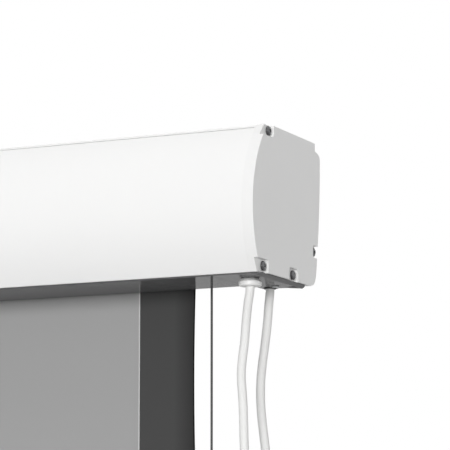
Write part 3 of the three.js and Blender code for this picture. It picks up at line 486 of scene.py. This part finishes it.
def smooth_group():
    group = bpy.data.node_groups.new("merge_and_smooth", "GeometryNodeTree")
    group.interface.new_socket("Geometry", in_out="INPUT", socket_type="NodeSocketGeometry")
    group.interface.new_socket("Geometry", in_out="OUTPUT", socket_type="NodeSocketGeometry")
    start = group.nodes.new("NodeGroupInput")
    merge = group.nodes.new("GeometryNodeMergeByDistance")
    merge.inputs["Distance"].default_value = WELD
    smooth = group.nodes.new("GeometryNodeSetShadeSmooth")
    end = group.nodes.new("NodeGroupOutput")
    group.links.new(start.outputs[0], merge.inputs["Geometry"])
    group.links.new(merge.outputs["Geometry"], smooth.inputs["Geometry"])
    group.links.new(smooth.outputs["Geometry"], end.inputs[0])
    return group


def soften(obj, group, width=EDGE_ROUND):
    obj.modifiers.new("merge", "NODES").node_group = group
    flat = obj.modifiers.new("flat_faces", "DECIMATE")
    flat.decimate_type = "DISSOLVE"
    flat.angle_limit = FLAT_ANGLE
    bevel = obj.modifiers.new("edges", "BEVEL")
    bevel.width = width
    bevel.segments = EDGE_SEGMENTS
    bevel.limit_method = "ANGLE"
    bevel.angle_limit = EDGE_ANGLE
    obj.modifiers.new("normals", "WEIGHTED_NORMAL").keep_sharp = True


def dress_frame(finishes):
    group = smooth_group()
    for name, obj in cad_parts.items():
        for slot in obj.material_slots:
            slot.material = finishes[plain_name(slot.material)]
        soften(obj, group, EDGE_ROUNDS.get(name, EDGE_ROUND))


# Meshes and curves.


def link(obj, material, body="case"):
    bpy.context.collection.objects.link(obj)
    obj.data.materials.append(material)
    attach(obj, body)
    return obj


def mesh_piece(name, points, faces, material, slot, body="case", smooth=False):
    mesh = bpy.data.meshes.new(name)
    mesh.from_pydata([tuple(p) for p in points], [], faces)
    mesh.update()
    if smooth:
        mesh.shade_smooth()
    return link(bpy.data.objects.new(name, mesh), material, body)


def ribbon(lines):
    """A surface through rows of points, all rows of one length."""
    points = [p for line in lines for p in line]
    count = len(lines[0])
    faces = [
        (row * count + i, row * count + i + 1, (row + 1) * count + i + 1, (row + 1) * count + i)
        for row in range(len(lines) - 1)
        for i in range(count - 1)
    ]
    return points, faces


def thicken(obj, thickness):
    solid = obj.modifiers.new("thickness", "SOLIDIFY")
    solid.thickness = thickness
    solid.offset = 0


def tube(name, points, radius, material):
    curve = bpy.data.curves.new(name, "CURVE")
    curve.dimensions = "3D"
    curve.bevel_depth = radius
    curve.bevel_resolution = CABLE_RESOLUTION
    curve.use_fill_caps = True
    spline = curve.splines.new("POLY")
    spline.points.add(len(points) - 1)
    for target, point in zip(spline.points, points):
        target.co = (*point, 1)
    return link(bpy.data.objects.new(name, curve), material)


# The fabric, its borders and its cords.


def edge_at(z):
    share = 2 * (((TOP_SCALLOP_Z - z) % SCALLOP_PITCH) / SCALLOP_PITCH) - 1
    return BORDER_EDGE - EDGE_SCALLOP * (1 - share**2)


def levels(high, low):
    count = max(2, round(SCALLOP_STEPS * (high - low) / SCALLOP_PITCH))
    return [high + (low - high) * i / count for i in range(count + 1)]


def shorten(obj):
    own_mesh(obj)


def columns_across(half_width):
    return [half_width * (i / HALF_COLUMNS - 1) for i in range(2 * HALF_COLUMNS + 1)]


def viewing_fabric(finishes):
    columns = columns_across(HALF_PICTURE)
    rows = [[(x, FABRIC_Y, z) for x in columns] for z in levels(FABRIC_TOP_Z, PICTURE_FOOT_Z)]
    obj = mesh_piece("viewing_fabric", *ribbon(rows), finishes["screen_fabric"], "screen_fabric")
    thicken(obj, FABRIC_THICKNESS)
    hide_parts("viewing_surface")
    shorten(obj)


def border_fabric(finishes, side, sign):
    """A side border, with the darker line of its cut edge."""
    shares = [i / BORDER_COLUMNS for i in range(BORDER_COLUMNS + 1)]
    rows = []
    for z in levels(FABRIC_TOP_Z, PICTURE_FOOT_Z):
        edge = edge_at(z)
        wide = edge - EDGE_STRIP - HALF_PICTURE
        row = [sign * (HALF_PICTURE + wide * s) for s in shares] + [sign * edge]
        rows.append([(x, FABRIC_Y, z) for x in row])
    points, faces = ribbon(rows)
    name = "border_fabric_" + side
    obj = mesh_piece(name, points, faces, finishes["black_fabric"], "black_fabric")
    obj.data.materials.append(finishes["border_cut"])
    for i, face in enumerate(obj.data.polygons):
        face.material_index = int(i % len(shares) == len(shares) - 1)
    thicken(obj, FABRIC_THICKNESS)
    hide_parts("side_border_" + side)
    tabs = edge_tabs(finishes, side, sign)
    shorten(obj)


def sleeve_path(sign):
    """A tab's outline across: from its weld behind the border round the cord's back and front."""
    weld_y = FABRIC_Y + (FABRIC_THICKNESS + TAB_THICKNESS) / 2 + HEM_GAP / 4
    start = [(BORDER_EDGE - TAB_LAP, weld_y), (BORDER_EDGE, weld_y)]
    turns = [SLEEVE_START - SLEEVE_TURN * i / SLEEVE_STEPS for i in range(SLEEVE_STEPS + 1)]
    round_cord = [
        (CORD_X + SLEEVE_RADIUS * math.cos(a), FABRIC_Y + SLEEVE_RADIUS * math.sin(a))
        for a in turns
    ]
    return [(sign * x, y) for x, y in start + round_cord]


def edge_tabs(finishes, side, sign):
    """The tabs at the scallops' crests, which the cord runs through."""
    points, faces = [], []
    middle = TOP_SCALLOP_Z - SCALLOP_PITCH
    while middle > PICTURE_FOOT_Z:
        heights = [middle + TAB_HEIGHT * (0.5 - i / TAB_STEPS) for i in range(TAB_STEPS + 1)]
        rows = [[(x, y, z) for x, y in sleeve_path(sign)] for z in heights]
        more_points, more_faces = ribbon(rows)
        faces += [tuple(i + len(points) for i in face) for face in more_faces]
        points += more_points
        middle -= SCALLOP_PITCH
    name = "border_tabs_" + side
    obj = mesh_piece(name, points, faces, finishes["black_fabric"], "black_fabric", smooth=True)
    thicken(obj, TAB_THICKNESS)
    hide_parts("side_border_" + side)
    shorten(obj)
    return obj


def fabric_seam(finishes, side, sign):
    """The welded joint of picture and border: a low pale bead on the fabric's face."""
    face = FABRIC_Y - FABRIC_THICKNESS / 2
    rows = [
        [
            (sign * HALF_PICTURE + SEAM_WIDTH * place, face - SEAM_PROUD * rise, z)
            for place, rise in SEAM_SECTION
        ]
        for z in (FABRIC_TOP_Z, PICTURE_FOOT_Z)
    ]
    name = "fabric_seam_" + side
    obj = mesh_piece(name, *ribbon(rows), finishes["fabric_edge"], "screen_fabric", smooth=True)
    shorten(obj)


def foot_fabric(finishes):
    """The lower border, which ends in a hem round the rod inside the bar."""
    rod_z = BAR_TOP_Z - BAR_WALL - ROD_DROP
    radius = ROD_RADIUS + HEM_GAP
    turns = [
        math.radians(HEM_START_DEGREES - HEM_TURN_DEGREES * i / HEM_STEPS) for i in HEM_PART
    ]
    hem = [(FABRIC_Y + radius * math.cos(a), rod_z + radius * math.sin(a)) for a in turns]
    straight = [(FABRIC_Y, z) for z in levels(PICTURE_FOOT_Z, BORDER_FOOT_Z)]
    path = straight + [(FABRIC_Y, rod_z + radius)] + hem
    rows = [
        [(x, y, z) for x in columns_across(edge_at(max(z, BORDER_FOOT_Z)))] for y, z in path
    ]
    fabric = finishes["black_fabric"]
    obj = mesh_piece("foot_fabric", *ribbon(rows), fabric, "black_fabric", body="bar")
    thicken(obj, WOUND_THICKNESS)
    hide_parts("bottom_border")


def wound_fabric(finishes):
    """What stays on the tube: the last turn, with the lap of its end."""
    inner, outer = WOUND_RADII
    reach = edge_at(FABRIC_TOP_Z)
    columns = [-reach, -HALF_PICTURE, 0, HALF_PICTURE, reach]
    steps = WOUND_STEPS + WOUND_LAP_STEPS
    rows = []
    for i in range(steps + 1):
        radius = inner + (outer - inner) * i / steps
        angle = math.tau * i / WOUND_STEPS
        y, z = ROLLER_Y + radius * math.cos(angle), ROLLER_Z + radius * math.sin(angle)
        rows.append([(x, y, z) for x in columns])
    fabric = finishes["black_fabric"]
    points, faces = ribbon(rows)
    obj = mesh_piece(
        "wound_fabric", points, faces, fabric, "black_fabric", body="roller", smooth=True
    )
    thicken(obj, WOUND_THICKNESS)
    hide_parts("fabric_wrap")
    obj.data.materials.append(finishes["screen_fabric"])
    for face in obj.data.polygons:
        if abs(face.center.x) < HALF_PICTURE:
            face.material_index = 1


def tension_cord(finishes, side, sign):
    """A round cord with closed ends, in rows like the fabric's."""
    turns = [math.tau * k / CORD_SIDES for k in range(CORD_SIDES + 1)]
    section = [(CORD_RADIUS * math.cos(a), CORD_RADIUS * math.sin(a)) for a in turns]
    rows = [
        [(sign * CORD_X + x, FABRIC_Y + y, z) for x, y in section]
        for z in levels(FABRIC_TOP_Z, CORD_FOOT_Z)
    ]
    points, faces = ribbon(rows)
    last = len(rows) * len(turns) - 1
    faces += [tuple(range(CORD_SIDES)), tuple(last - k for k in range(CORD_SIDES))]
    name = "edge_cord_" + side
    finish = finishes["tension_cord"]
    obj = mesh_piece(name, points, faces, finish, "tension_cord", smooth=True)
    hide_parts("tension_cord_" + side)
    shorten(obj)


# Screws with a domed head and a cross recess.


def screw_mesh(name, head_radius, head_height, radius, length):
    """A screw along +Z: its head lies below zero and its thread above."""
    dome = [(0, -head_height)]
    for i in range(1, HEAD_STEPS + 1):
        share = i / HEAD_STEPS
        lift = HEAD_EDGE_SHARE * (1 + math.sqrt(1 - share**2))
        dome.append((head_radius * share, -head_height * min(1, lift)))
    rim = [(head_radius, -head_height * HEAD_RIM_SHARE), (head_radius, 0), (radius, 0)]
    thread = []
    for i in range(round(length / SCREW_PITCH * 2)):
        depth = SCREW_THREAD * (i % 2)
        thread.append((radius - depth, SCREW_PITCH * (i + 1) / 2))
    tip = [(radius - SCREW_THREAD, length), (0, length)]
    return turned_mesh(name, dome + rim + thread[:-1] + tip, SCREW_SIDES)


def turned_mesh(name, profile, sides):
    """A closed solid from a profile that starts and ends on the axis."""
    shape = bmesh.new()
    rings = []
    for r, z in profile:
        if r == 0:
            rings.append([shape.verts.new((0, 0, z))])
            continue
        angles = [math.tau * k / sides for k in range(sides)]
        rings.append([shape.verts.new((r * math.cos(a), r * math.sin(a), z)) for a in angles])
    for low, high in zip(rings, rings[1:]):
        for k in range(sides):
            n = (k + 1) % sides
            lower = [low[k % len(low)], low[n % len(low)]]
            upper = [high[n % len(high)], high[k % len(high)]]
            unique = list(dict.fromkeys(lower + upper))
            if len(unique) > 2:
                shape.faces.new(unique)
    bmesh.ops.recalc_face_normals(shape, faces=shape.faces)
    mesh = bpy.data.meshes.new(name)
    shape.to_mesh(mesh)
    shape.free()
    return mesh


def recess_mesh(head_height):
    """Two crossed wedges, to be cut out of a screw's head."""
    shape = bmesh.new()
    top = -head_height * (1 + RECESS_LEAD_SHARE)
    foot = top + head_height * RECESS_LEAD_SHARE + RECESS_DEPTH
    reach_share, width_share = RECESS_FOOT_SHARES
    layers = (
        (top, RECESS_REACH, RECESS_WIDTH),
        (foot, reach_share * RECESS_REACH, width_share * RECESS_WIDTH),
    )
    for turn in (0, math.pi / 2):
        crosswise = Matrix.Rotation(turn, 4, "Z")
        corners = []
        for z, reach, wide in layers:
            for sx, sy in ((-1, -1), (1, -1), (1, 1), (-1, 1)):
                place = crosswise @ Vector((sx * reach, sy * wide / 2, z))
                corners.append(shape.verts.new(place))
        low, high = corners[:4], corners[4:]
        shape.faces.new(low[::-1])
        shape.faces.new(high)
        for k in range(4):
            n = (k + 1) % 4
            shape.faces.new([low[k], low[n], high[n], high[k]])
    bmesh.ops.recalc_face_normals(shape, faces=shape.faces)
    mesh = bpy.data.meshes.new("recess")
    shape.to_mesh(mesh)
    shape.free()
    return mesh


def cross_screw(name, head_radius, head_height, radius, length):
    screw = bpy.data.objects.new(name, screw_mesh(name, head_radius, head_height, radius, length))
    cutter = bpy.data.objects.new(name + "_recess", recess_mesh(head_height))
    for obj in (screw, cutter):
        bpy.context.collection.objects.link(obj)
    cut = screw.modifiers.new("recess", "BOOLEAN")
    cut.operation = "DIFFERENCE"
    cut.object = cutter
    cut.solver = "EXACT"
    cut.use_self = True
    bpy.context.view_layer.update()
    depsgraph = bpy.context.evaluated_depsgraph_get()
    made = bpy.data.meshes.new_from_object(screw.evaluated_get(depsgraph))
    for obj in (screw, cutter):
        bpy.data.objects.remove(obj)
    made.name = name
    made.set_sharp_from_angle(angle=EDGE_ANGLE)
    return made


def place_screw(name, mesh, place, turn, material, node):
    obj = bpy.data.objects.new(name, mesh.copy())
    obj.matrix_world = Matrix.Translation(place) @ turn.to_matrix().to_4x4()
    link(obj, material)
    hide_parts(node)


def all_screws(finishes):
    cap = cross_screw(
        "cap_screw", SCREW_HEAD_RADIUS, SCREW_HEAD_HEIGHT, SCREW_RADIUS, CAP_SCREW_LENGTH
    )
    plate = cross_screw(
        "plate_screw", PLATE_HEAD_RADIUS, PLATE_HEAD_HEIGHT, SCREW_RADIUS, PLATE_SCREW_LENGTH
    )
    up = Vector((0, 0, 1))
    for side, sign in (("right", 1), ("left", -1)):
        inwards = up.rotation_difference(Vector((-sign, 0, 0)))
        for i, (where, (y, z)) in enumerate(CAP_SCREWS.items()):
            place = Vector((sign * (HALF_LENGTH - CAP_SCREW_D), y + SECTION_Y, z + SECTION_Z))
            turn = math.radians(CAP_SCREW_TURN + CAP_SCREW_TURN_STEP * i)
            twist = inwards @ Quaternion(up, turn)
            node = f"end_cap_screw_{where}_{side}"
            name = f"cap_screw_{where}_{side}"
            place_screw(name, cap, place, twist, finishes["black_steel"], node)
        d, y, z = PLATE_SCREW
        place = Vector((sign * (HALF_LENGTH - d), y + SECTION_Y, z + SECTION_Z))
        twist = Quaternion(up, math.radians(PLATE_SCREW_TURN))
        node = "bottom_plate_screw_" + side
        name = "plate_screw_" + side
        place_screw(name, plate, place, twist, finishes["zinc_steel"], node)


# The cables, each one line from inside the case through its coil to what it ends in.


def smooth_line(points, steps):
    """A centripetal line through all the points."""
    points = [Vector(p) for p in points]
    ends = [2 * points[0] - points[1], *points, 2 * points[-1] - points[-2]]
    line = []
    for a, b, c, d in zip(ends, ends[1:], ends[2:], ends[3:]):
        times = [0.0]
        for p, q in ((a, b), (b, c), (c, d)):
            times.append(times[-1] + math.sqrt((q - p).length))
        for i in range(steps):
            t = times[1] + (times[2] - times[1]) * i / steps
            line.append(between([a, b, c, d], times, t))
    return [*line, points[-1]]


def between(points, times, t):
    """The place at one time on the line from the second of four points to the third."""
    level = list(points)
    for depth in (1, 2, 3):
        level = [
            mixed(level[i], level[i + 1], times, t, depth, i) for i in range(len(level) - 1)
        ]
    return level[0]


def mixed(low, high, times, t, depth, i):
    """Two places of one level, weighed by how near the time is to their own."""
    first, last = (i, i + depth) if depth < 3 else (1, 2)
    span = times[last] - times[first]
    return low * ((times[last] - t) / span) + high * ((t - times[first]) / span)


def coil_line(first_x, second_x, side):
    """Winds in over one layer and out over the next, from the coil's front or back."""
    centre_y, centre_z = COIL_CENTRE
    middle = COIL_TURNS / 2
    line = []
    for i in range(COIL_TURNS * COIL_STEPS + 1):
        turn = i / COIL_STEPS
        angle = math.tau * turn
        radius = COIL_INNER_RADIUS + COIL_PITCH * abs(turn - middle)
        share = min(1, max(0, (turn - middle + LAYER_CHANGE) / (2 * LAYER_CHANGE)))
        climb = share * share * (3 - 2 * share)
        line.append(
            Vector(
                (
                    first_x + (second_x - first_x) * climb,
                    centre_y + side * radius * math.cos(angle),
                    centre_z - radius * math.sin(angle),
                )
            )
        )
    tail = line[-1] - Vector((0, 0, COIL_TAIL))
    return [*line, tail]


def cable(finishes, name, route, side, nodes):
    first_x = route[-1][0]
    coil = coil_line(first_x, first_x - COIL_LAYER_STEP, side)
    line = smooth_line(route, ROUTE_STEPS) + coil
    material = finishes["cable_jacket"]
    obj = tube(name, line, CABLE_DIAMETER / 2, material)
    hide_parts(*nodes)


def all_cables(finishes):
    cable(
        finishes,
        "power_lead",
        POWER_ROUTE,
        FRONT,
        ["power_cable", "power_cable_coil"],
    )
    cable(
        finishes,
        "control_lead",
        CONTROL_ROUTE,
        BACK,
        ["control_cable", "control_cable_coil"],
    )


# Light and floor.


def seen_or_mirrored(tree):
    """One for rays of the camera, of a mirror and of glass, and zero for all others."""
    path = tree.nodes.new("ShaderNodeLightPath")
    seen = path.outputs["Is Camera Ray"]
    for name in ("Is Glossy Ray", "Is Transmission Ray"):
        either = tree.nodes.new("ShaderNodeMath")
        either.operation = "MAXIMUM"
        tree.links.new(seen, either.inputs[0])
        tree.links.new(path.outputs[name], either.inputs[1])
        seen = either.outputs[0]
    return seen


def make_world():
    """White where it is seen or mirrored, and a plain soft light everywhere else."""
    world = bpy.data.worlds.new("studio")
    world.use_nodes = True
    bpy.context.scene.world = world
    tree = world.node_tree
    tree.nodes.clear()
    seen = seen_or_mirrored(tree)
    soft = tree.nodes.new("ShaderNodeBackground")
    soft.inputs["Color"].default_value = (1, 1, 1, 1)
    soft.inputs["Strength"].default_value = SKY
    white = tree.nodes.new("ShaderNodeBackground")
    white.inputs["Color"].default_value = (1, 1, 1, 1)
    mix = tree.nodes.new("ShaderNodeMixShader")
    out = tree.nodes.new("ShaderNodeOutputWorld")
    tree.links.new(seen, mix.inputs["Fac"])
    tree.links.new(soft.outputs[0], mix.inputs[1])
    tree.links.new(white.outputs[0], mix.inputs[2])
    tree.links.new(mix.outputs[0], out.inputs["Surface"])


def make_suns():
    for name, (source, power, spread) in SUNS.items():
        data = bpy.data.lights.new(name, "SUN")
        data.energy = power
        data.angle = math.radians(spread)
        sun = bpy.data.objects.new(name, data)
        sun.rotation_mode = "QUATERNION"
        sun.rotation_quaternion = Vector(source).to_track_quat("Z", "Y")
        bpy.context.collection.objects.link(sun)


def fade_to_white(n):
    """Lifts the floor as it is seen or mirrored, and lets its far part run into the white."""
    away = n.add("ShaderNodeVectorMath", {0: n.place()}, operation="LENGTH").outputs["Value"]
    start, end = FLOOR_FADE
    share = n.add(
        "ShaderNodeMapRange",
        {"Value": away, "From Min": start, "From Max": end, "To Min": FLOOR_WHITE_SHARE},
        interpolation_type="SMOOTHSTEP",
    )
    factors = {0: share.outputs["Result"], 1: seen_or_mirrored(n.tree)}
    fade = n.add("ShaderNodeMath", factors, operation="MULTIPLY").outputs[0]
    white = n.add("ShaderNodeEmission")
    parts = {"Fac": fade, 1: n.shader.outputs[0], 2: white.outputs[0]}
    mix = n.add("ShaderNodeMixShader", parts)
    n.put(n.tree.nodes["Material Output"].inputs["Surface"], mix.outputs[0])


def make_floor():
    n = Nodes("floor")
    dark, light = FLOOR_GREYS
    n.finish(
        n.tint(n.grain("floor_patch"), grey(dark), grey(light)),
        n.spread(n.grain("floor_sheen"), *FLOOR_ROUGHNESS),
        n.bump(n.grain("floor_relief"), FLOOR_RELIEF, FLOOR_BUMP),
    )
    fade_to_white(n)
    half = FLOOR_SIZE / 2
    corners = [(-half, -half), (half, -half), (half, half), (-half, half)]
    mesh = bpy.data.meshes.new("floor")
    mesh.from_pydata([(x, y, FLOOR_Z) for x, y in corners], [], [(0, 1, 2, 3)])
    floor = bpy.data.objects.new("floor", mesh)
    floor.data.materials.append(n.material)
    bpy.context.collection.objects.link(floor)


make_camera()
finishes = make_materials()
dress_frame(finishes)
all_cables(finishes)
viewing_fabric(finishes)
for side, sign in (("right", 1), ("left", -1)):
    border_fabric(finishes, side, sign)
    fabric_seam(finishes, side, sign)
    tension_cord(finishes, side, sign)
foot_fabric(finishes)
wound_fabric(finishes)
all_screws(finishes)
make_world()
make_suns()
make_floor()
bpy.context.scene.view_settings.view_transform = "Standard"
